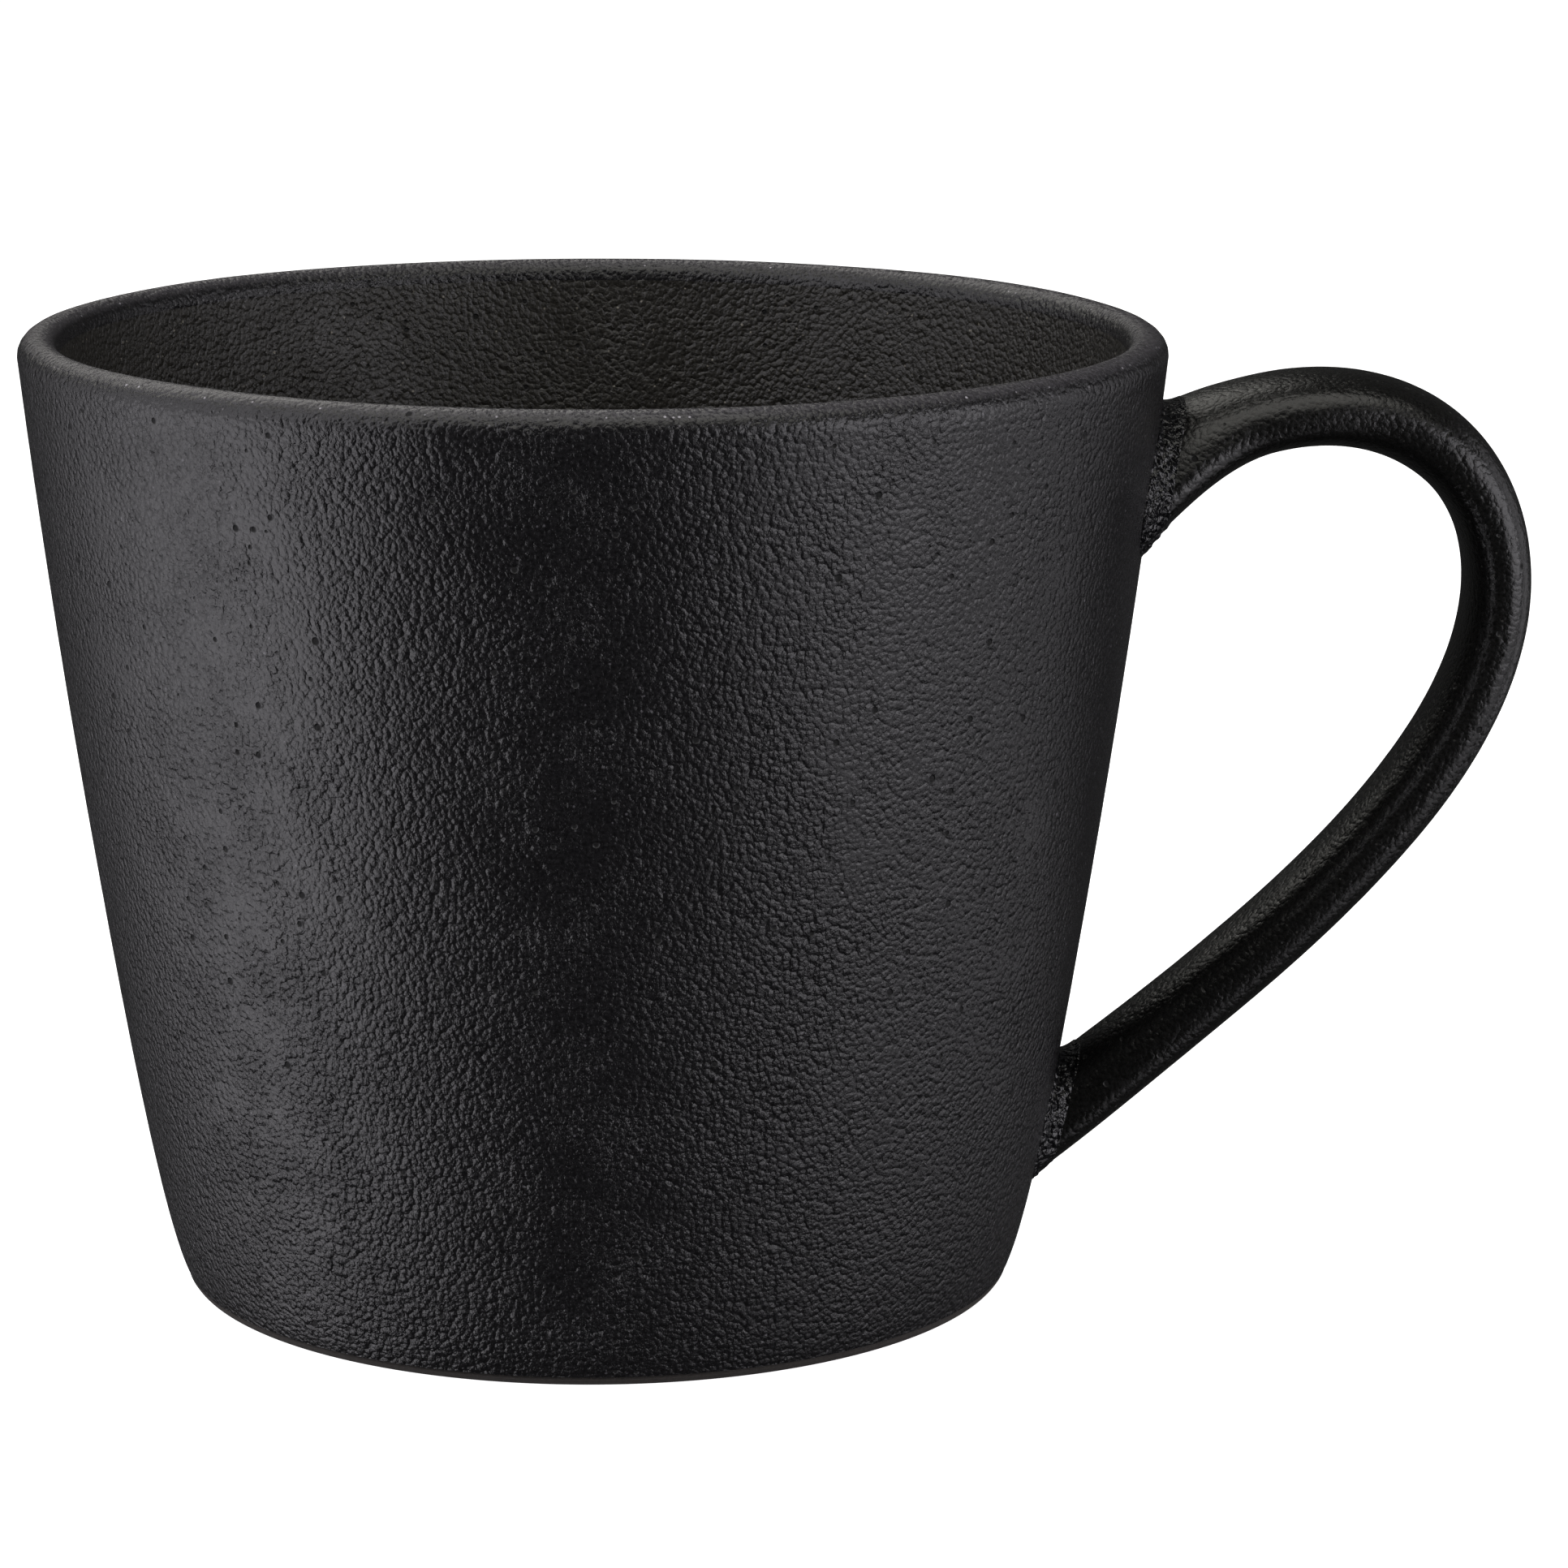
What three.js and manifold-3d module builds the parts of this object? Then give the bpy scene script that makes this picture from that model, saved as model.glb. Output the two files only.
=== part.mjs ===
// A stoneware mug: a flared clay cup, a strap handle stuck on with slip, and the glaze coats over them.
// Millimetres, +Z up. The origin is on the table under the middle of the mug's footprint, handle included,
// and the handle points along +X.
import * as THREE from "three";
import { mergeVertices } from "three/addons/utils/BufferGeometryUtils.js";
import Module from "manifold-3d";

// Driving dimensions of the glazed mug.
const HEIGHT = 84.5;
const RIM_RADIUS = 50;
const FOOT_RADIUS = 36.2;
const HANDLE_REACH = 82.4; // from the cup's axis to the outside of the handle
const HANDLE_THINNEST = 5.8; // across the loop, at its outermost point
const LIP_ROUNDING = 1.9; // half the lip's thickness
const GLAZE = 0.4; // thickness of the fired glaze coats
const GLAZE_LINE = 0.7; // the clay is bare below this height
const FLOOR_TOP = 5.2;
const FLOOR_DISH = 0.4; // how far the floor sinks towards its middle
const FOOT_RING_WIDTH = 4.8;
const RECESS_DEPTH = 1.4; // how far the underside is hollowed inside the foot ring
const RECESS_SLOPE = 1.2;
const SLIP_PAD = 0.9; // thickness of the slip between the wall and the handle's end
const GAP = 0.3; // between pieces that are cut to fit each other
const FILLET_REACH = 2.2; // how far a slip joint climbs out along the handle
const JOINT_ROOT = 11; // how far a slip joint's uncut shape starts inside the wall
const SECTION_POWER = 2.5; // 2 is an ellipse, higher is squarer
const CUTTER_MARGIN = 5; // how far the cutting solids run past the cup

// How finely the round shapes are cut into flat faces.
const ROUND_SEGMENTS = 48;
const UNDERCUT_STEPS = 7;
const WALL_STEPS = 4;
const LIP_STEPS = 6;
const INSIDE_STEPS = 5;
const HANDLE_SIDES = 16;
const HANDLE_STEPS = 30;
const FILLET_STEPS = [0, 0.15, 0.4, 0.7, 1]; // shares of the reach
const WELD = 1e-3; // points closer than this are one point

// The wall's outline: a rounded undercut at the foot, then a slowly flaring wall.
const UNDERCUT_TOP = new THREE.Vector2(42.8, 29);
const UNDERCUT_PULLS = [new THREE.Vector2(36.7, 0.2), new THREE.Vector2(38.3, 0.5)];
const WALL_PULL = new THREE.Vector2(47.1, 56);

// The inside: a wall about 4 mm thick, and a wide round corner into the floor.
const INSIDE_CORNER = { radius: 36.2, height: 15.5 };
const INSIDE_WALL_PULLS = [new THREE.Vector2(43, 55), new THREE.Vector2(39.2, 34)];
const CORNER_PULLS = [new THREE.Vector2(34.6, 8.4), new THREE.Vector2(31, 5.3)];
const FLAT_FLOOR_RADIUS = 24;

// The handle's middle line, as distance from the cup's axis and height: a shoulder that rises off the wall,
// turns over and comes down to the outermost point, then a fall back to the wall.
const OUTERMOST = new THREE.Vector2(HANDLE_REACH - HANDLE_THINNEST / 2, 61.5);
const SHOULDER = new THREE.CubicBezierCurve(
  new THREE.Vector2(45.5, 69.2),
  new THREE.Vector2(59, 82.8),
  new THREE.Vector2(OUTERMOST.x, 79),
  OUTERMOST,
);
const FALL = new THREE.CubicBezierCurve(
  OUTERMOST,
  new THREE.Vector2(OUTERMOST.x, 43.8),
  new THREE.Vector2(56.8, 26.2),
  new THREE.Vector2(38.5, 12),
);

// The strap's section: its thickness across the loop, its width, and how much wider its lower face is (0 is
// even). `at` is 0 at the upper end, 1 at the outermost point and 2 at the lower end.
const HANDLE_SECTIONS = [
  { at: 0, thick: 8.8, wide: 18.4, flare: 0.32 },
  { at: 0.3, thick: 6.6, wide: 14.6, flare: 0.1 },
  { at: 0.6, thick: 6.7, wide: 13.2, flare: 0 },
  { at: 1, thick: HANDLE_THINNEST, wide: 12.4, flare: 0 },
  { at: 1.7, thick: 6.1, wide: 11.8, flare: 0 },
  { at: 2, thick: 6.8, wide: 12, flare: -0.15 },
];

// The slip joints: the outline on the wall, and the outline where the slip meets the handle, as upright
// sections with a middle height, a height and a width. Both are wider low down.
const UPPER_JOINT = {
  onWall: { middle: 72.5, tall: 14.4, wide: 20 },
  onHandle: { middle: 72.5, tall: 11.2, wide: 18 },
  flare: 0.38,
};
const LOWER_JOINT = {
  onWall: { middle: 14.8, tall: 13, wide: 14.8 },
  onHandle: { middle: 15.1, tall: 10.5, wide: 12.9 },
  flare: 0.18,
};

const CUP_AXIS_X = (RIM_RADIUS - HANDLE_REACH) / 2;

const wasm = await Module();
wasm.setup();

const clay = new THREE.MeshStandardMaterial({ color: 0x2b2927, roughness: 0.9, metalness: 0 });
const glaze = new THREE.MeshStandardMaterial({ color: 0x1d1d1f, roughness: 0.55, metalness: 0 });
const slip = new THREE.MeshStandardMaterial({ color: 0x232325, roughness: 0.3, metalness: 0 });

// ---- outlines of the cup, as points of radius and height ----

// From the foot's edge up the wall to the start of the lip.
function outsideOutline() {
  const foot = new THREE.Vector2(FOOT_RADIUS, 0);
  const lipStart = new THREE.Vector2(RIM_RADIUS, HEIGHT - LIP_ROUNDING);
  const undercut = new THREE.CubicBezierCurve(foot, ...UNDERCUT_PULLS, UNDERCUT_TOP);
  const wall = new THREE.QuadraticBezierCurve(UNDERCUT_TOP, WALL_PULL, lipStart);
  return [...undercut.getPoints(UNDERCUT_STEPS), ...wall.getPoints(WALL_STEPS).slice(1)];
}

// The lip's rounding, from its outside over the top to its inside.
function lipOutline() {
  const middle = RIM_RADIUS - LIP_ROUNDING;
  const arc = new THREE.EllipseCurve(middle, HEIGHT - LIP_ROUNDING, LIP_ROUNDING, LIP_ROUNDING, 0, Math.PI);
  return arc.getPoints(LIP_STEPS);
}

// From the inside of the lip down the wall, round the corner and along the floor to the axis.
function insideOutline() {
  const lipEnd = new THREE.Vector2(RIM_RADIUS - 2 * LIP_ROUNDING, HEIGHT - LIP_ROUNDING);
  const corner = new THREE.Vector2(INSIDE_CORNER.radius, INSIDE_CORNER.height);
  const floorEdge = new THREE.Vector2(FLAT_FLOOR_RADIUS, FLOOR_TOP);
  const wall = new THREE.CubicBezierCurve(lipEnd, ...INSIDE_WALL_PULLS, corner);
  const round = new THREE.CubicBezierCurve(corner, ...CORNER_PULLS, floorEdge);
  const middle = new THREE.Vector2(0, FLOOR_TOP - FLOOR_DISH);
  return [...wall.getPoints(INSIDE_STEPS), ...round.getPoints(INSIDE_STEPS).slice(1), middle];
}

// The same points moved sideways: a positive depth goes into the clay, a negative one stands off it.
function inset(points, depth) {
  return points.map((point, i) => {
    const before = points[Math.max(i - 1, 0)];
    const after = points[Math.min(i + 1, points.length - 1)];
    const along = after.clone().sub(before).normalize();
    const moved = new THREE.Vector2(point.x - along.y * depth, point.y + along.x * depth);
    if (point.x === 0) moved.set(0, point.y - depth);
    return moved;
  });
}

// The glazed surface in one run, from the foot's edge to the middle of the floor, and the clay under it.
const outside = outsideOutline();
const lip = lipOutline();
const glazedFace = [...outside, ...lip.slice(1), ...insideOutline().slice(1)];
const clayFace = inset(glazedFace, GLAZE);
const firstGlazed = glazedFace.findIndex((point) => point.y > GLAZE_LINE);
const coatSeam = outside.length + lip.length - 2; // the outer coat wraps the lip, and meets the liner there

// ---- solids ----

// Turns an outline round the cup's axis.
function turned(outline) {
  const geometry = new THREE.LatheGeometry(outline, ROUND_SEGMENTS);
  return geometry.rotateX(Math.PI / 2).translate(CUP_AXIS_X, 0, 0);
}

function solidOf(geometry) {
  const bare = geometry.clone();
  bare.deleteAttribute("normal");
  bare.deleteAttribute("uv");
  const merged = mergeVertices(bare, WELD);
  const vertProperties = new Float32Array(merged.attributes.position.array);
  const triVerts = new Uint32Array(merged.index.array);
  return new wasm.Manifold(new wasm.Mesh({ numProp: 3, vertProperties, triVerts }));
}

function geometryOf(solid) {
  const { vertProperties, triVerts } = solid.getMesh();
  const geometry = new THREE.BufferGeometry();
  geometry.setAttribute("position", new THREE.BufferAttribute(vertProperties, 3));
  geometry.setIndex(new THREE.BufferAttribute(triVerts, 1));
  geometry.computeVertexNormals();
  return geometry;
}

// Joins rings of points, each with the same count, into one closed body with flat ends.
function lofted(rings) {
  const sides = rings[0].length;
  const middles = [rings[0], rings.at(-1)].map((ring) =>
    ring.reduce((sum, point) => sum.add(point), new THREE.Vector3()).divideScalar(sides),
  );
  const points = [...rings.flat(), ...middles];
  const faces = [];
  const lastRing = (rings.length - 1) * sides;
  for (let side = 0; side < sides; side++) {
    const next = (side + 1) % sides;
    for (let ring = 0; ring < lastRing; ring += sides) {
      faces.push(ring + side, ring + sides + next, ring + next);
      faces.push(ring + side, ring + sides + side, ring + sides + next);
    }
    faces.push(points.length - 2, side, next);
    faces.push(points.length - 1, lastRing + next, lastRing + side);
  }
  const geometry = new THREE.BufferGeometry().setFromPoints(points);
  return geometry.setIndex(faces);
}

// One ring: a rounded section with its thickness along one direction and its width along Y. A flare above 0
// makes it wider on the side that `across` points away from.
function ring(middle, across, thick, wide, flare) {
  const round = (value) => Math.sign(value) * Math.abs(value) ** (2 / SECTION_POWER);
  return Array.from({ length: HANDLE_SIDES }, (_, side) => {
    const angle = (2 * Math.PI * side) / HANDLE_SIDES;
    const up = round(Math.cos(angle));
    const point = middle.clone().addScaledVector(across, (up * thick) / 2);
    point.y += (round(Math.sin(angle)) * (1 - flare * up) * wide) / 2;
    return point;
  });
}

// The strap's thickness, width and flare at a place along it, easing from one named section to the next.
function handleSection(at) {
  const next = Math.max(1, HANDLE_SECTIONS.findIndex((section) => section.at >= at));
  const [from, to] = HANDLE_SECTIONS.slice(next - 1, next + 1);
  const share = THREE.MathUtils.smoothstep(at, from.at, to.at);
  const mix = (key) => THREE.MathUtils.lerp(from[key], to[key], share);
  return { thick: mix("thick"), wide: mix("wide"), flare: mix("flare") };
}

// The whole strap, its ends buried in the wall, with its surface moved out by `grow`.
function strap(grow) {
  const rings = [];
  for (let step = 0; step <= HANDLE_STEPS; step++) {
    const at = (2 * step) / HANDLE_STEPS;
    const [curve, share] = at < 1 ? [SHOULDER, at] : [FALL, at - 1];
    const place = curve.getPoint(share);
    const along = curve.getTangent(share);
    const middle = new THREE.Vector3(CUP_AXIS_X + place.x, 0, place.y);
    const across = new THREE.Vector3(-along.y, 0, along.x);
    const { thick, wide, flare } = handleSection(at);
    rings.push(ring(middle, across, thick + 2 * grow, wide + 2 * grow, flare));
  }
  return solidOf(lofted(rings));
}

// The cup as a filled block whose sides stand off the clay by `standOff`.
function filledCup(standOff) {
  const sides = inset(clayFace.slice(0, outside.length), -standOff);
  const bottom = -CUTTER_MARGIN;
  const top = HEIGHT + CUTTER_MARGIN;
  const outline = [
    new THREE.Vector2(0, bottom),
    new THREE.Vector2(sides[0].x, bottom),
    ...sides,
    new THREE.Vector2(sides.at(-1).x, top),
    new THREE.Vector2(0, top),
  ];
  return solidOf(turned(outline));
}

function wallRadius(height) {
  const above = outside.findIndex((point) => point.y > height);
  const [low, high] = [outside[above - 1], outside[above]];
  return THREE.MathUtils.mapLinear(height, low.y, high.y, low.x, high.x);
}

// The outer shape of a slip joint: a concave fillet from the wall out to the handle.
function jointShape({ onWall, onHandle, flare }, grow) {
  const up = new THREE.Vector3(0, 0, 1);
  const wallX = CUP_AXIS_X + wallRadius(onWall.middle);
  const section = (share, reach) => {
    const spread = 1 - Math.sqrt(1 - (1 - share) ** 2);
    const mix = (key) => THREE.MathUtils.lerp(onHandle[key], onWall[key], spread);
    const middle = new THREE.Vector3(wallX + reach, 0, mix("middle"));
    return ring(middle, up, mix("tall") + 2 * grow, mix("wide") + 2 * grow, flare);
  };
  const fillet = FILLET_STEPS.map((share) => section(share, share * FILLET_REACH));
  return solidOf(lofted([section(0, -JOINT_ROOT), ...fillet]));
}

// ---- pieces ----

function makeCupBody() {
  const ringInside = FOOT_RADIUS - FOOT_RING_WIDTH;
  const underside = [
    new THREE.Vector2(0, RECESS_DEPTH),
    new THREE.Vector2(ringInside - RECESS_SLOPE, RECESS_DEPTH),
    new THREE.Vector2(ringInside, 0),
  ];
  return turned([...underside, ...glazedFace.slice(0, firstGlazed + 1), ...clayFace.slice(firstGlazed)]);
}

// A glaze coat between two points of the glazed outline, as a closed skin.
function makeCoat(first, last) {
  const outer = glazedFace.slice(first, last + 1);
  const inner = clayFace.slice(first, last + 1).reverse();
  return turned([...outer, ...inner, outer[0]]);
}

const upperShape = jointShape(UPPER_JOINT, 0);
const lowerShape = jointShape(LOWER_JOINT, 0);
const jointClearance = jointShape(UPPER_JOINT, GAP).add(jointShape(LOWER_JOINT, GAP));
const clayStrap = strap(-GLAZE);

// The slip fills the space between the wall and the handle's end, and swells into a bead round it.
function makeSlipJoint(shape) {
  const handleEnd = strap(-GLAZE + GAP).subtract(filledCup(GAP + SLIP_PAD));
  return geometryOf(shape.subtract(filledCup(GAP)).subtract(handleEnd));
}

function makeHandle() {
  return geometryOf(clayStrap.subtract(filledCup(2 * GAP + SLIP_PAD)));
}

function makeHandleGlaze() {
  const skin = strap(0).subtract(clayStrap);
  return geometryOf(skin.subtract(filledCup(FILLET_REACH)).subtract(jointClearance));
}

function makeExteriorGlaze() {
  return geometryOf(solidOf(makeCoat(firstGlazed, coatSeam)).subtract(jointClearance));
}

function makeInteriorGlaze() {
  return makeCoat(coatSeam, glazedFace.length - 1);
}

const mug = new THREE.Group();
const pieces = [
  ["cup_body", makeCupBody(), clay],
  ["handle", makeHandle(), clay],
  ["upper_slip_joint", makeSlipJoint(upperShape), slip],
  ["lower_slip_joint", makeSlipJoint(lowerShape), slip],
  ["exterior_glaze", makeExteriorGlaze(), glaze],
  ["interior_glaze", makeInteriorGlaze(), glaze],
  ["handle_glaze", makeHandleGlaze(), glaze],
];
for (const [name, geometry, material] of pieces) {
  const piece = new THREE.Mesh(geometry, material);
  piece.name = name;
  mug.add(piece);
}

export default mug;
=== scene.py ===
import math

import bpy
import numpy as np
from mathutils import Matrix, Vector


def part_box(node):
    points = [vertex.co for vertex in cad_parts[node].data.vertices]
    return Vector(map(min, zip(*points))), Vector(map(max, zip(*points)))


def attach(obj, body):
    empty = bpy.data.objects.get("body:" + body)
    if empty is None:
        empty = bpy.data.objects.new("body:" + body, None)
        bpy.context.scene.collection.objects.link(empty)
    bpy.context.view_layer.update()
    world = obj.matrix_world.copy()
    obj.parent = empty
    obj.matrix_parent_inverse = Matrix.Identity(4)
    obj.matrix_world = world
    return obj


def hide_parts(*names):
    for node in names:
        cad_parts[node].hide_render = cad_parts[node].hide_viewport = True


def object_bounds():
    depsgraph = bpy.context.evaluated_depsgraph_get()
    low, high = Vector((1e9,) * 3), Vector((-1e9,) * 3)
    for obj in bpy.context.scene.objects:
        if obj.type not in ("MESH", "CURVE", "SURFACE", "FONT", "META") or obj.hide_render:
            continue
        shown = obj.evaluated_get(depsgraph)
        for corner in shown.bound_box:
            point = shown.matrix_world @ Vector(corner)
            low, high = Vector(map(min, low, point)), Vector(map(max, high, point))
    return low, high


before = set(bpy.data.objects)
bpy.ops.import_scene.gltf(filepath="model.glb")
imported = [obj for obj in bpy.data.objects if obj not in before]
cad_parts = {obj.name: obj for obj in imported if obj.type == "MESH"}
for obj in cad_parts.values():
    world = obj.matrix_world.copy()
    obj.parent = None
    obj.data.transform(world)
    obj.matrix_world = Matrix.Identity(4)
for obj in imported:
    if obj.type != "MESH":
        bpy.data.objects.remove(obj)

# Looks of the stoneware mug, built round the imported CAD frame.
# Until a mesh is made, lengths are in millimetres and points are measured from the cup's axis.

CAD_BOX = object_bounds()
MM = 0.001

# ---- driving dimensions, from the frame ----
coat_low, coat_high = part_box("exterior_glaze")
CUP_X = (coat_low.x + coat_high.x) / 2 / MM
RIM_RADIUS = (coat_high.x - coat_low.x) / 2 / MM
HEIGHT = coat_high.z / MM
GLAZE_LINE = coat_low.z / MM
HANDLE_REACH = CAD_BOX[1].x / MM - CUP_X

# ---- the cup's outline: the same curves as the CAD's, in radius and height ----
FOOT_RADIUS = 36.2
LIP_ROUNDING = 1.9
GLAZE = 0.4
UNDERCUT = [(FOOT_RADIUS, 0), (36.7, 0.2), (38.3, 0.5), (42.8, 29)]
WALL = [(42.8, 29), (47.1, 56), (RIM_RADIUS, HEIGHT - LIP_ROUNDING)]
INSIDE_WALL = [(RIM_RADIUS - 2 * LIP_ROUNDING, HEIGHT - LIP_ROUNDING), (43, 55), (39.2, 34), (36.2, 15.5)]
INSIDE_CORNER = [(36.2, 15.5), (34.6, 8.4), (31, 5.3), (24, 5.2)]
FLOOR_MIDDLE = 4.8
FOOT_RING_WIDTH = 4.8
RECESS_DEPTH = 1.4
RECESS_SLOPE = 1.2
RECESS_SLOPE_PULL = 0.4  # how far inside the foot ring the slope bends most
RECESS_RIPPLE = 0.04  # half the depth of the turning marks
RIPPLE_PITCH = 2.3
UNDER_GLAZE_GAP = 0.15  # between the clay's mesh and the inner face of its glaze coats

# ---- the handle: the same middle line and sections as the CAD's, from the cup's axis ----
HANDLE_THINNEST = 5.8
OUTERMOST = (HANDLE_REACH - HANDLE_THINNEST / 2, 61.5)
SHOULDER = [(45.5, 69.2), (59, 82.8), (OUTERMOST[0], 79), OUTERMOST]
FALL = [OUTERMOST, (OUTERMOST[0], 43.8), (56.8, 26.2), (38.5, 12)]
# Place (0 upper end, 1 outermost point, 2 lower end), thickness, width, and flare of the lower face.
HANDLE_SECTIONS = [
    (0, 8.8, 18.4, 0.32),
    (0.3, 6.6, 14.6, 0.1),
    (0.6, 6.7, 13.2, 0),
    (1, HANDLE_THINNEST, 12.4, 0),
    (1.7, 6.1, 11.8, 0),
    (2, 6.8, 12, -0.15),
]
SECTION_POWER = 2.5
HANDLE_SIDES = 192
HANDLE_STEP = 0.45
HANDLE_ROOT = 1.5  # how deep the strap's ends sit in the wall
HANDLE_RUN_ON = 6  # how far the strap is run on past its path's ends before it is cut at the wall
PATH_POINTS = 750  # points worked out along each of the handle's two curves, before they are evenly spaced

# ---- the slip beads ----
# Reach along the handle and spread over the wall, at a bead's lower edge, sides and upper edge.
BEADS = {
    "upper": {"reach": (1.9, 1.9, 2.0), "spread": (0.1, 1.5, 1.0)},
    "lower": {"reach": (1.3, 1.6, 1.8), "spread": (0.05, 1.1, 1.5)},
}
# Places from the lower edge of a bead, -1, to its upper edge, 1, and the bead's roundness and creases there.
BEAD_FULLNESS = (-1, -0.5, 0.3, 0.9), (0.3, 0.3, 0.3, 0)
BEAD_CREASE = (-1, -0.8, 0.2, 0.9), (0.5, 1, 0.9, 0.1)
BEAD_STEPS = 22
BEAD_FOOT = 0.4  # how deep a bead's foot sits in the wall
BEAD_TIP = 0.5  # how far a bead runs on past its edge, under the handle's surface
BEAD_TIP_DEPTH = 0.4
FOLD_SIZES = (0.8, 0.4)
FOLD_HEIGHT = 0.24
FINE_FOLD_SHARE = 0.6  # how high the finer folds are, as a share of the others
SWELL_SIZE = 1.8
SWELL_HEIGHT = 0.08
WRINKLES_SUNK = 0.14

# ---- mesh fineness ----
ROUND_SEGMENTS = 480
CLAY_SEGMENTS = 192
ROW = 0.55  # height of one row of the fine mesh
INSIDE_ROW = 0.62
CLAY_ROW = 2.5
CURVE_POINTS = 200  # points worked out along an outline's curve, before they are evenly spaced
CORNER_POINTS = 120
LIP_POINTS = 60
RECESS_POINTS = 120
RECESS_SLOPE_POINTS = 10
BARE_STRIDE = 12  # the bare clay by the foot takes one outline point in so many
HIDDEN_ROWS = 14  # rows of a coat's inner face, which lies on the clay
SHARP_ANGLE = 55  # degrees

# ---- relief of the fired glaze, in mesh: size of the lumps, then their height ----
SUNK = 0.07  # how far the relief's middle lies inside the CAD surface, so that no lump passes it
CUP_WAVES = (17, 0.05)
CUP_PEBBLE = 1.2
CUP_PEBBLE_HEIGHTS = (0.010, 0.005)
CUP_PEBBLE_LEVELS = (5, 60)  # heights above the table that have those two pebble heights
HANDLE_WAVES = (9, 0.05)
HANDLE_PEBBLES = (1.1, 0.006)


# ---- curves and noise ----


def bezier(points, count):
    """Points along a Bezier curve of any degree."""
    points = np.array(points, float)
    t = np.linspace(0, 1, count)[:, None]
    degree = len(points) - 1
    return sum(math.comb(degree, k) * t**k * (1 - t) ** (degree - k) * p for k, p in enumerate(points))


def respaced(points, step):
    """The same outline with points about one step apart."""
    points = np.array(points, float)
    lengths = np.r_[0, np.cumsum(np.linalg.norm(np.diff(points, axis=0), axis=1))]
    wanted = np.linspace(0, lengths[-1], max(2, round(lengths[-1] / step) + 1))
    return np.column_stack([np.interp(wanted, lengths, points[:, k]) for k in range(2)])


def lattice(points, cell, seed):
    """Smooth value noise from -1 to 1, with the given cell size. Large primes and shifts turn each corner
    of a point's cell, and the seed, into 16 random bits."""
    scaled = points / cell
    base = np.floor(scaled).astype(np.int64)
    part = scaled - base
    part = part * part * (3 - 2 * part)
    total = np.zeros(len(points))
    for corner in np.ndindex(2, 2, 2):
        i = base + np.array(corner)
        mixed = (i[:, 0] * 73856093) ^ (i[:, 1] * 19349663) ^ (i[:, 2] * 83492791) ^ (seed * 2654435761)
        mixed = (mixed ^ (mixed >> 13)) * 1274126177 & 0xFFFFFFFF
        value = ((mixed ^ (mixed >> 16)) & 0xFFFF) / 32767.5 - 1
        total += value * np.prod(np.where(corner, part, 1 - part), axis=1)
    return total


# ---- meshes ----


def add_mesh(name, vertices, faces, material, slot, *nodes):
    """Makes a smooth shaded piece from points in millimetres, and puts it in place of CAD nodes."""
    mesh = bpy.data.meshes.new(name)
    mesh.from_pydata((np.array(vertices) * MM).tolist(), [], faces)
    mesh.shade_smooth()
    mesh.set_sharp_from_angle(angle=math.radians(SHARP_ANGLE))
    mesh.materials.append(material)
    piece = bpy.data.objects.new(name, mesh)
    bpy.context.scene.collection.objects.link(piece)
    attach(piece, "root")
    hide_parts(*nodes)


def outline_normals(points):
    """Unit normals of an outline that runs with the body on its left."""
    along = np.gradient(points, axis=0)
    along /= np.linalg.norm(along, axis=1)[:, None]
    return np.column_stack([along[:, 1], -along[:, 0]])


def inset(points, depth):
    """The outline moved into the body, with points on the axis kept on it."""
    moved = points - outline_normals(points) * depth
    moved[points[:, 0] < 1e-6, 0] = 0
    return moved


def turned(outline, lift=None, segments=ROUND_SEGMENTS):
    """Turns an outline round the cup's axis. It closes on itself unless it starts on the axis.
    lift(row, points, ring) gives the moves of one row's points; ring holds their directions from the axis."""
    angles = np.linspace(0, 2 * math.pi, segments, endpoint=False)
    ring = np.column_stack([np.cos(angles), np.sin(angles), np.zeros(segments)])
    rows = []
    for row, (radius, height) in enumerate(outline):
        points = ring * max(radius, 0) + (0, 0, height)
        if lift is not None:
            points = points + lift(row, points, ring)
        rows.append(points[:1] * (0, 0, 1) if radius < 1e-6 else points)
    starts = np.cumsum([0, *map(len, rows)])
    last = len(rows) if outline[0][0] > 1e-6 else len(rows) - 1
    faces = []
    for row in range(last):
        after = (row + 1) % len(rows)
        a, b = int(starts[row]), int(starts[after])
        for k in range(segments):
            n = (k + 1) % segments
            corners = [a + k, a + n, b + n, b + k]
            if len(rows[row]) == 1:
                corners = [a, b + n, b + k]
            if len(rows[after]) == 1:
                corners = [a + k, a + n, b]
            if len(rows[row]) + len(rows[after]) > 2:
                faces.append(corners)
    return np.concatenate(rows) + (CUP_X, 0, 0), faces


def lofted(rings):
    """Joins rings of points into one closed body with a fan at each end."""
    count, sides, _ = rings.shape
    vertices = np.concatenate([rings.reshape(-1, 3), rings[0].mean(0)[None], rings[-1].mean(0)[None]])
    faces = []
    for ring in range(count - 1):
        a, b = ring * sides, (ring + 1) * sides
        for k in range(sides):
            n = (k + 1) % sides
            faces.append((a + k, b + k, b + n, a + n))
    end = (count - 1) * sides
    for k in range(sides):
        n = (k + 1) % sides
        faces.append((count * sides, k, n))
        faces.append((count * sides + 1, end + n, end + k))
    return vertices, faces


def ring_normals(rings):
    """Unit normals of a loft's points, from its two grid directions."""
    around = np.roll(rings, -1, axis=1) - np.roll(rings, 1, axis=1)
    along = np.gradient(rings, axis=0)
    normals = np.cross(along, around)
    return normals / np.maximum(np.linalg.norm(normals, axis=2), 1e-9)[..., None]


def section(sides):
    """A rounded section, as shares of half its thickness and half its width."""
    angles = np.linspace(0, 2 * math.pi, sides, endpoint=False)
    across, wide = np.cos(angles), np.sin(angles)
    power = 2 / SECTION_POWER
    return np.sign(across) * np.abs(across) ** power, np.sign(wide) * np.abs(wide) ** power


# ---- the cup's shape ----

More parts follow.
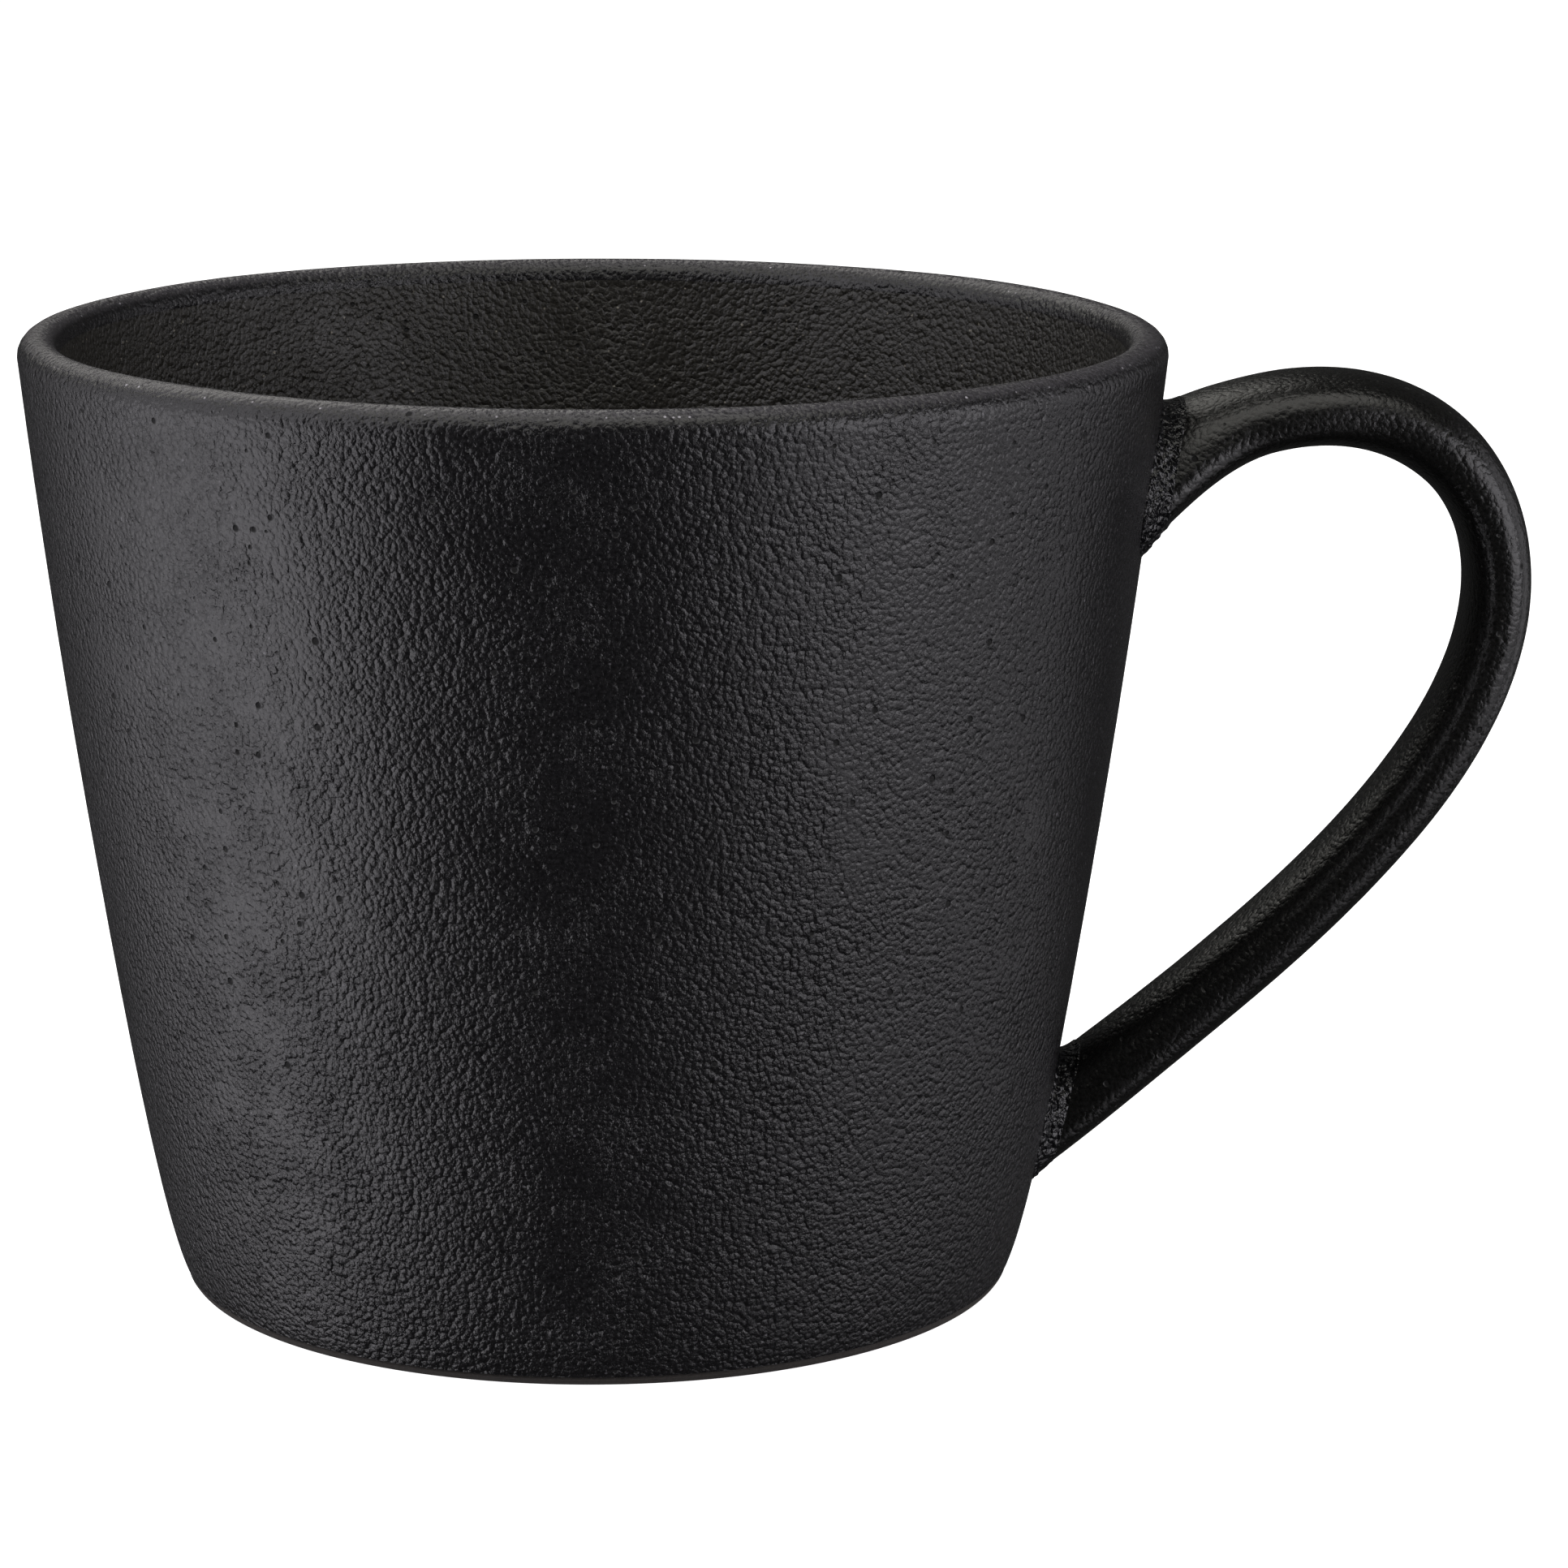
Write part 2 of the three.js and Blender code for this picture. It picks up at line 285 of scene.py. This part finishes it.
outside = np.concatenate([bezier(UNDERCUT, CURVE_POINTS), bezier(WALL, CURVE_POINTS)[1:]])
arc = np.linspace(0, math.pi, LIP_POINTS)
LIP_MIDDLE = (RIM_RADIUS - LIP_ROUNDING, HEIGHT - LIP_ROUNDING)
lip = np.column_stack([np.cos(arc), np.sin(arc)]) * LIP_ROUNDING + LIP_MIDDLE
inside_corner = bezier(INSIDE_CORNER, CORNER_POINTS)
inside = np.concatenate([bezier(INSIDE_WALL, CURVE_POINTS), inside_corner[1:], [(0, FLOOR_MIDDLE)]])


def wall_radius(height):
    """The cup's outer radius at a height."""
    return np.interp(height, outside[:, 1], outside[:, 0])


def glaze_relief(points):
    """How far the fired glaze stands out from the CAD surface: slow waves and a pebbled grain."""
    size, height = CUP_WAVES
    waves = lattice(points, size, 1) * height
    pebbles = lattice(points, CUP_PEBBLE, 2)
    strength = np.interp(points[:, 2], CUP_PEBBLE_LEVELS, CUP_PEBBLE_HEIGHTS)
    return waves - SUNK + pebbles * strength


def coat(face, normals):
    """A glaze coat: its fine outer face, and a coarse hidden face on the clay."""
    inner = inset(face, GLAZE)
    hidden = inner[:: max(1, len(face) // HIDDEN_ROWS)]
    outline = np.concatenate([face, inner[-1:], hidden[::-1]])

    def lift(row, points, ring):
        if row >= len(face):
            return 0
        direction = ring * normals[row][0] + (0, 0, normals[row][1])
        return direction * glaze_relief(points)[:, None]

    return outline, lift


def make_coats(glaze, liner):
    """The outside coat, from the foot over the lip, and the liner that meets it inside the lip."""
    edge = np.array([(wall_radius(GLAZE_LINE), GLAZE_LINE)])
    glazed = outside[outside[:, 1] > GLAZE_LINE]
    outer = respaced(np.concatenate([edge, glazed, lip[1:]]), ROW)
    inner = respaced(inside, INSIDE_ROW)
    face = np.concatenate([outer, inner[1:]])
    normals = outline_normals(face)
    seam = len(outer) - 1
    outline, lift = coat(face[: seam + 1], normals[: seam + 1])
    add_mesh("outer_glaze_coat", *turned(outline, lift), glaze, "glaze", "exterior_glaze")
    outline, lift = coat(face[seam:], normals[seam:])
    add_mesh("inner_glaze_coat", *turned(outline, lift), liner, "liner_glaze", "interior_glaze")


def make_clay_body(clay):
    """The bare clay: what shows is the foot ring and the turned hollow under it."""
    ring_inside = FOOT_RADIUS - FOOT_RING_WIDTH
    radii = np.linspace(0, ring_inside - RECESS_SLOPE, RECESS_POINTS)
    ripple = RECESS_RIPPLE * (np.cos(2 * math.pi * radii / RIPPLE_PITCH) - 1)
    recess = np.column_stack([radii, RECESS_DEPTH + ripple])
    slope_pull = (ring_inside - RECESS_SLOPE_PULL, RECESS_DEPTH)
    slope = bezier([(radii[-1], RECESS_DEPTH), slope_pull, (ring_inside, 0)], RECESS_SLOPE_POINTS)
    bare = outside[outside[:, 1] < GLAZE_LINE][::BARE_STRIDE]
    glazed = np.concatenate([outside[outside[:, 1] >= GLAZE_LINE], lip[1:], inside[1:]])
    under_glaze = inset(respaced(glazed, CLAY_ROW), GLAZE + UNDER_GLAZE_GAP)
    outline = np.concatenate([recess, slope[1:], bare, under_glaze])
    add_mesh("clay_body", *turned(outline, segments=CLAY_SEGMENTS), clay, "clay", "cup_body")


def standing(points):
    """How far points stand off the cup's wall, measured from its axis."""
    return np.hypot(points[..., 0], points[..., 1]) - wall_radius(points[..., 2])


def moved_to_standing(points, distance):
    """The points moved along X to stand that far off the wall."""
    radius = wall_radius(points[..., 2]) + distance
    out = points.copy()
    out[..., 0] = np.sqrt(np.maximum(radius**2 - points[..., 1] ** 2, 1))
    return out


def handle_sections(at):
    """Thickness, width and flare at places along the strap, easing from one named section to the next."""
    rows = np.array(HANDLE_SECTIONS)
    row = np.clip(np.searchsorted(rows[:, 0], at, side="right") - 1, 0, len(rows) - 2)
    share = (at - rows[row, 0]) / (rows[row + 1, 0] - rows[row, 0])
    share = (share * share * (3 - 2 * share))[:, None]
    return rows[row, 1:] * (1 - share) + rows[row + 1, 1:] * share


def handle_rings():
    """The strap's rings of points, run on past both ends of its path."""
    at = np.linspace(0, 1, PATH_POINTS)
    middle = np.concatenate([bezier(SHOULDER, len(at)), bezier(FALL, len(at))[1:]])
    path = np.column_stack([middle, handle_sections(np.r_[at, 1 + at[1:]])])
    ends = []
    for end, pull in ((path[0], SHOULDER[1]), (path[-1], FALL[2])):
        out = end[:2] - pull
        ends.append(np.r_[end[:2] + out / np.linalg.norm(out) * HANDLE_RUN_ON, end[2:]])
    path = np.array([ends[0], *path, ends[1]])
    lengths = np.r_[0, np.cumsum(np.linalg.norm(np.diff(path[:, :2], axis=0), axis=1))]
    wanted = np.linspace(0, lengths[-1], round(lengths[-1] / HANDLE_STEP))
    path = np.column_stack([np.interp(wanted, lengths, path[:, k]) for k in range(path.shape[1])])
    along = np.gradient(path[:, :2], axis=0)
    along /= np.linalg.norm(along, axis=1)[:, None]
    across = np.column_stack([-along[:, 1], np.zeros(len(along)), along[:, 0]])
    thick, wide = section(HANDLE_SIDES)
    middle = np.column_stack([path[:, 0], np.zeros(len(path)), path[:, 1]])
    rings = middle[:, None] + across[:, None] * (thick * path[:, 2:3] / 2)[..., None]
    rings[:, :, 1] += wide * (1 - path[:, 4:5] * thick) * path[:, 3:4] / 2
    return rings


def make_handle(rings, glaze):
    """The strap's glaze coat, with its relief, cut off a little inside the wall at both ends."""
    normals = ring_normals(rings)
    points = rings.reshape(-1, 3)
    size, height = HANDLE_WAVES
    waves = lattice(points, size, 4) * height
    size, height = HANDLE_PEBBLES
    pebbles = lattice(points, size, 5) * height
    rings = rings + normals * (waves + pebbles - SUNK).reshape(rings.shape[:2])[..., None]
    deep = standing(rings) < -HANDLE_ROOT
    rings = np.where(deep[..., None], moved_to_standing(rings, -HANDLE_ROOT), rings)
    kept = ~deep.all(1)
    kept[1:] |= kept[:-1].copy()
    kept[:-1] |= kept[1:].copy()
    vertices, faces = lofted(rings[kept])
    add_mesh("handle_glaze_coat", vertices + (CUP_X, 0, 0), faces, glaze, "glaze", "handle_glaze")


def wrinkles(points):
    """Creased lumps of slip: folds with sharp valleys, over slower swells."""
    wide, fine = FOLD_SIZES
    folds = np.abs(lattice(points, wide, 6)) + FINE_FOLD_SHARE * np.abs(lattice(points, fine, 7))
    return FOLD_HEIGHT * folds + SWELL_HEIGHT * lattice(points, SWELL_SIZE, 8) - WRINKLES_SUNK


def make_slip_bead(name, rings, reach, spread, slip):
    """A bead of slip round one end of the handle. The rings run outwards from inside the wall."""
    start = standing(rings[: len(rings) // 4])

    def on_handle(distance):
        """The strap's points where it stands that far off the wall, one distance for each of its sides."""
        ring = [
            [np.interp(distance[k], start[:, k], rings[: len(start), k, axis]) for axis in range(3)]
            for k in range(HANDLE_SIDES)
        ]
        return np.array(ring)

    contact = on_handle(np.zeros(HANDLE_SIDES))
    away = (contact - contact.mean(0)) * (0, 1, 1)
    away /= np.linalg.norm(away, axis=1)[:, None]
    reach = np.interp(away[:, 2], (-1, 0, 1), reach)
    spread = np.interp(away[:, 2], (-1, 0, 1), spread)
    fullness = np.interp(away[:, 2], *BEAD_FULLNESS)
    crease = np.interp(away[:, 2], *BEAD_CREASE)
    bead, strength = [], []
    for turn in np.linspace(0, math.pi / 2, BEAD_STEPS):
        distance = reach * (1 - math.cos(turn))
        out = spread * (1 - math.sin(turn) + fullness * math.sin(2 * turn))
        bead.append(moved_to_standing(on_handle(distance) + away * out[:, None], distance))
        strength.append(crease * math.sin(2 * turn) ** 0.5)
    foot = moved_to_standing(bead[0], -BEAD_FOOT)
    tip = moved_to_standing(on_handle(reach + BEAD_TIP) - away * BEAD_TIP_DEPTH, reach + BEAD_TIP)
    bead = np.array([foot, *bead, tip])
    strength = np.array([strength[0] * 0, *strength, strength[0] * 0])
    relief = wrinkles(bead.reshape(-1, 3)).reshape(bead.shape[:2]) * strength
    vertices, faces = lofted(bead + ring_normals(bead) * relief[..., None])
    add_mesh(name, vertices + (CUP_X, 0, 0), faces, slip, "slip", name.replace("bead", "joint"))


# ---- materials ----


def node(tree, kind, inputs=None, **settings):
    """Adds a shader node; an input is a value or another node's socket."""
    made = tree.nodes.new(kind)
    for key, value in settings.items():
        setattr(made, key, value)
    for key, value in (inputs or {}).items():
        if isinstance(value, bpy.types.NodeSocket):
            tree.links.new(value, made.inputs[key])
        else:
            made.inputs[key].default_value = value
    return made


def new_material(name):
    """A material, its nodes, its shader and the place on the object in millimetres."""
    material = bpy.data.materials.new(name)
    material.use_nodes = True
    tree = material.node_tree
    tree.nodes.clear()
    shader = node(tree, "ShaderNodeBsdfPrincipled")
    node(tree, "ShaderNodeOutputMaterial", {"Surface": shader.outputs["BSDF"]})
    place = node(tree, "ShaderNodeTexCoord").outputs["Object"]
    scaled = node(tree, "ShaderNodeVectorMath", {0: place, 3: 1 / MM}, operation="SCALE").outputs[0]
    return material, tree, shader, scaled


def ranged(tree, value, low, high, to_low, to_high):
    """The value moved from one range to another, and held at its ends."""
    made = node(
        tree,
        "ShaderNodeMapRange",
        {"Value": value, "From Min": low, "From Max": high, "To Min": to_low, "To Max": to_high},
    )
    return made.outputs["Result"]


def math_node(tree, operation, a, b):
    return node(tree, "ShaderNodeMath", {0: a, 1: b}, operation=operation).outputs[0]


def noise(tree, place, scale, detail, roughness):
    inputs = {"Vector": place, "Scale": scale, "Detail": detail, "Roughness": roughness}
    return node(tree, "ShaderNodeTexNoise", inputs).outputs["Fac"]


def cells(tree, place, scale, smoothness=None):
    """Voronoi cells. A smoothness rounds the ridges between them."""
    if smoothness is None:
        return node(tree, "ShaderNodeTexVoronoi", {"Vector": place, "Scale": scale})
    inputs = {"Vector": place, "Scale": scale, "Smoothness": smoothness}
    return node(tree, "ShaderNodeTexVoronoi", inputs, feature="SMOOTH_F1")


def chance(tree, made, channel):
    """A random number from 0 to 1 for each cell: one channel of the cells' colours."""
    return node(tree, "ShaderNodeSeparateColor", {0: made.outputs["Color"]}).outputs[channel]


def spots(tree, made, channel, least, largest):
    """1 inside round spots and 0 outside, in the cells whose random number is well over least. The other
    cells have a faint speck. The number comes from one channel, and largest is a radius in cells."""
    size = ranged(tree, chance(tree, made, channel), least, 1.0, 0.0, largest)
    past_edge = math_node(tree, "SUBTRACT", made.outputs["Distance"], size)
    return ranged(tree, past_edge, -SPOT_EDGE[0], SPOT_EDGE[1], 1.0, 0.0)


def tinted(tree, shader, tint, shade):
    """Colours the shader with the tint, made paler or darker by the shade."""
    color = node(tree, "ShaderNodeVectorMath", {0: tint, 3: shade}, operation="SCALE").outputs[0]
    tree.links.new(color, shader.inputs["Base Color"])


def bumped(tree, shader, height, strength, distance):
    """Tilts the shader's normals by a height, where 1 stands for the distance, in metres."""
    inputs = {"Height": height, "Strength": strength, "Distance": distance}
    bump = node(tree, "ShaderNodeBump", inputs)
    tree.links.new(bump.outputs["Normal"], shader.inputs["Normal"])


# Scales are cells to a millimetre, and levels are heights above the table.
SPOT_EDGE = (0.05, 0.02)  # how far a spot's soft edge reaches in and out, in cells
PEBBLE_CELL = 0.5  # size of a pebble
PEBBLE_SMOOTHNESS = 0.3
PATCH_SCALE = 0.16
GRIT_SCALE = 3.6
PIT_SCALE = 0.62
FLECK_SCALE = 1.5
PAINTED_GLINT_SHADE = 9  # how many times as pale as the glaze its flecks are: painted glints
FLAKE_SCALE = 3.4
FLAKE_GLOSS = 0.15  # how much smoother than the glaze its flakes are
RELIEF_LEVELS = (8.0, 66.0)
LIP_HIGHLIGHT_BAND = (0.9, 0.15)  # how far under the lip's top the painted highlight on its glaze starts, and is palest

# The relief, in millimetres, is for near the foot and near the lip. On the lip's top edge the colour is made
# paler by the last factor, as a painted highlight.
GLAZES = {
    "charcoal_glaze": {
        "tint": (0.010, 0.0096, 0.0105),
        "roughness": 0.25,
        "relief": (0.18, 0.12),
        "lip_painted_highlight": 8.0,
    },
    "charcoal_liner_painted_light": {
        # The liner's tint is paler and warmer than the outside glaze's: painted light.
        "tint": (0.022, 0.0205, 0.017),
        "roughness": 0.34,
        "relief": (0.14, 0.14),
        "lip_painted_highlight": 3.0,
    },
    "charcoal_handle_glaze_painted_shade": {
        # The handle's tint is darker than the outside glaze's: painted shade.
        "tint": (0.005, 0.0049, 0.0045),
        "roughness": 0.29,
        "relief": (0.06, 0.06),
        "lip_painted_highlight": 1.0,
    },
}


def glaze_material(name, tint, roughness, relief, lip_painted_highlight):
    """A matte glaze: a pebbled grain in rougher and smoother patches, grit, pits, pale flecks painted as
    glints, a sparkle, and a painted highlight on the lip's top edge.
    """
    material, tree, shader, place = new_material(name)
    relief_low, relief_high = relief
    pebble = cells(tree, place, 1 / PEBBLE_CELL, PEBBLE_SMOOTHNESS)
    dome = math_node(tree, "MULTIPLY", pebble.outputs["Distance"], pebble.outputs["Distance"])
    patch = noise(tree, place, PATCH_SCALE, 2.0, 0.5)
    grit = noise(tree, place, GRIT_SCALE, 2.0, 0.6)
    pit = spots(tree, cells(tree, place, PIT_SCALE), 0, 0.35, 0.2)
    fleck = spots(tree, cells(tree, place, FLECK_SCALE), 2, 0.6, 0.2)
    flake = chance(tree, cells(tree, place, FLAKE_SCALE), 1)
    level = node(tree, "ShaderNodeSeparateXYZ", {0: place}).outputs["Z"]

    height = math_node(tree, "SUBTRACT", math_node(tree, "MULTIPLY", grit, 0.8), dome)
    height = math_node(tree, "SUBTRACT", height, math_node(tree, "MULTIPLY", pit, 1.2))
    distance = ranged(tree, level, *RELIEF_LEVELS, relief_low * MM, relief_high * MM)
    distance = math_node(tree, "MULTIPLY", distance, ranged(tree, patch, 0.3, 0.7, 0.65, 1.3))
    bumped(tree, shader, height, 1.0, distance)

    shade = ranged(tree, grit, 0.35, 0.65, 0.6, 1.4)
    shade = math_node(tree, "MULTIPLY", shade, ranged(tree, pit, 0.0, 1.0, 1.0, 0.15))
    # Pale flecks added to the colour: painted glints.
    shade = math_node(tree, "ADD", shade, math_node(tree, "MULTIPLY", fleck, PAINTED_GLINT_SHADE))
    # The lip's top edge is painted paler: a painted highlight.
    painted_lip_highlight = ranged(tree, level, HEIGHT - LIP_HIGHLIGHT_BAND[0], HEIGHT - LIP_HIGHLIGHT_BAND[1], 1.0, lip_painted_highlight)
    tinted(tree, shader, tint, math_node(tree, "MULTIPLY", shade, painted_lip_highlight))

    rough = ranged(tree, grit, 0.3, 0.7, roughness - 0.06, roughness + 0.06)
    rough = math_node(tree, "SUBTRACT", rough, ranged(tree, flake, 0.9, 1.0, 0.0, FLAKE_GLOSS))
    rough = math_node(tree, "ADD", rough, math_node(tree, "MULTIPLY", pit, 0.6))
    tree.links.new(rough, shader.inputs["Roughness"])
    shader.inputs["IOR"].default_value = 1.5
    return material


SLIP_TINT = (0.006, 0.006, 0.007)
SLIP_RELIEF = 0.32
SLIP_ROUGHNESS = (0.07, 0.18)


def slip_material():
    """Black and glossier than the glaze, and crinkled."""
    material, tree, shader, place = new_material("wrinkled_slip")
    wrinkle = noise(tree, place, 1.5, 2.0, 0.55)
    crinkle = cells(tree, place, 1.7, 0.2)
    height = math_node(tree, "SUBTRACT", wrinkle, crinkle.outputs["Distance"])
    bumped(tree, shader, height, 1.0, SLIP_RELIEF * MM)
    tinted(tree, shader, SLIP_TINT, ranged(tree, wrinkle, 0.3, 0.7, 0.5, 1.3))
    tree.links.new(ranged(tree, wrinkle, 0.3, 0.7, *SLIP_ROUGHNESS), shader.inputs["Roughness"])
    return material


CLAY_TINT = (0.045, 0.040, 0.036)
CLAY_RELIEF = 0.12
CLAY_ROUGHNESS = 0.88


def clay_material():
    """Bare dark stoneware: rough, gritty, with paler and darker grains."""
    material, tree, shader, place = new_material("bare_clay")
    grit = noise(tree, place, 3.2, 4.0, 0.7)
    grog = cells(tree, place, 1.6)
    fleck = ranged(tree, grog.outputs["Distance"], 0.0, 0.18, 1.6, 1.0)
    shade = math_node(tree, "MULTIPLY", ranged(tree, grit, 0.3, 0.7, 0.75, 1.2), fleck)
    tinted(tree, shader, CLAY_TINT, shade)
    bumped(tree, shader, grit, 0.5, CLAY_RELIEF * MM)
    shader.inputs["Roughness"].default_value = CLAY_ROUGHNESS
    return material


def plain_material(name, color, roughness, glow):
    """One colour all over, which also glows."""
    material = bpy.data.materials.new(name)
    material.use_nodes = True
    shader = material.node_tree.nodes["Principled BSDF"]
    shader.inputs["Base Color"].default_value = (*color, 1)
    shader.inputs["Roughness"].default_value = roughness
    shader.inputs["Emission Color"].default_value = (*color, 1)
    shader.inputs["Emission Strength"].default_value = glow
    return material


# ---- stage ----

TARGET = Vector((0, 0, HEIGHT * 0.5 * MM))  # what the softboxes face, in metres
CAMERA_AWAY = 486.4
CAMERA_HEIGHT = 150.8
CAMERA_DOWN = 12.42  # degrees that it looks down, turns right and rolls
CAMERA_RIGHT = 1.915
CAMERA_ROLL = -0.19
CAMERA_LENS = 129
CAMERA_SENSOR = 36
CAMERA_NEAR = 0.01  # metres
FLOOR_SIZE = 12  # metres
FLOOR_WHITE = 0.93
FLOOR_ROUGHNESS = 0.8
FLOOR_GLOW = 1.1
WORLD_LIGHT = 0.03


def make_camera():
    """At the photograph's viewing angle: half a metre in front of the cup, looking down on it a little."""
    camera = bpy.data.objects.new("camera", bpy.data.cameras.new("camera"))
    bpy.context.scene.collection.objects.link(camera)
    camera.data.lens = CAMERA_LENS
    camera.data.sensor_width = CAMERA_SENSOR
    camera.data.clip_start = CAMERA_NEAR
    camera.location = Vector((CUP_X, -CAMERA_AWAY, CAMERA_HEIGHT)) * MM
    camera.rotation_euler = [math.radians(turn) for turn in (90 - CAMERA_DOWN, CAMERA_ROLL, -CAMERA_RIGHT)]
    bpy.context.scene.camera = camera


def make_softbox(name, azimuth, elevation, width, height, power, color):
    """A rectangular light facing the mug. Azimuth 0 is the camera's side, and 90 the handle's."""
    a, e = math.radians(azimuth), math.radians(elevation)
    back = Vector((math.sin(a) * math.cos(e), -math.cos(a) * math.cos(e), math.sin(e)))
    light = bpy.data.lights.new(name, "AREA")
    light.shape = "RECTANGLE"
    light.size, light.size_y = width, height
    light.energy = power
    light.color = color
    lamp = bpy.data.objects.new(name, light)
    lamp.location = TARGET + back * SOFTBOX_AWAY
    lamp.rotation_euler = back.to_track_quat("Z", "Y").to_euler()
    bpy.context.scene.collection.objects.link(lamp)


def make_floor():
    """A white floor whose glow hides shadows. It bounces no light on the mug and lets light through."""
    bpy.ops.mesh.primitive_plane_add(size=FLOOR_SIZE)
    floor = bpy.context.object
    floor.name = "floor"
    look = plain_material("pale_floor", (FLOOR_WHITE,) * 3, FLOOR_ROUGHNESS, FLOOR_GLOW)
    floor.data.materials.append(look)
    floor.visible_glossy = False
    floor.visible_diffuse = False
    floor.visible_shadow = False


COOL = (1.0, 0.975, 1.03)
WARM = (1.0, 0.98, 0.92)
SOFTBOX_AWAY = 0.9  # metres, as the softboxes' sizes are
# Name, azimuth, elevation, width, height, power, colour.
SOFTBOXES = [
    ("left_low", -76, -20, 0.8, 0.72, 3.8, COOL),
    ("left_high", -70, 30, 0.8, 0.8, 3.0, COOL),
    ("left_side", -115, 0, 0.5, 1.0, 1.0, COOL),
    ("right_low", 58, -26, 0.8, 0.5, 0.9, COOL),
    ("right_high", 58, 8, 0.85, 0.62, 4.0, COOL),
    ("right_side", 110, 0, 0.5, 1.0, 1.0, COOL),
    ("back_left", -150, 40, 0.8, 0.6, 1.6, WARM),
    ("top", 0, 80, 1.0, 0.5, 2.5, WARM),
    ("top_front", 0, 55, 1.0, 0.3, 1.0, WARM),
]


def make_stage():
    """The floor, a faint white surround and the softboxes."""
    make_floor()
    world = bpy.data.worlds.new("studio")
    bpy.context.scene.world = world
    world.use_nodes = True
    surround = world.node_tree.nodes["Background"]
    surround.inputs["Color"].default_value = (1, 1, 1, 1)
    surround.inputs["Strength"].default_value = WORLD_LIGHT
    for settings in SOFTBOXES:
        make_softbox(*settings)
    bpy.context.scene.view_settings.view_transform = "Standard"


make_camera()
make_stage()
glaze, liner, handle_glaze = [glaze_material(name, **look) for name, look in GLAZES.items()]
clay = clay_material()
slip = slip_material()
make_coats(glaze, liner)
make_clay_body(clay)
strap = handle_rings()
make_handle(strap, handle_glaze)
make_slip_bead("upper_slip_bead", strap, *BEADS["upper"].values(), slip)
make_slip_bead("lower_slip_bead", strap[::-1, ::-1], *BEADS["lower"].values(), slip)
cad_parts["handle"].data.materials.clear()
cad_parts["handle"].data.materials.append(clay)
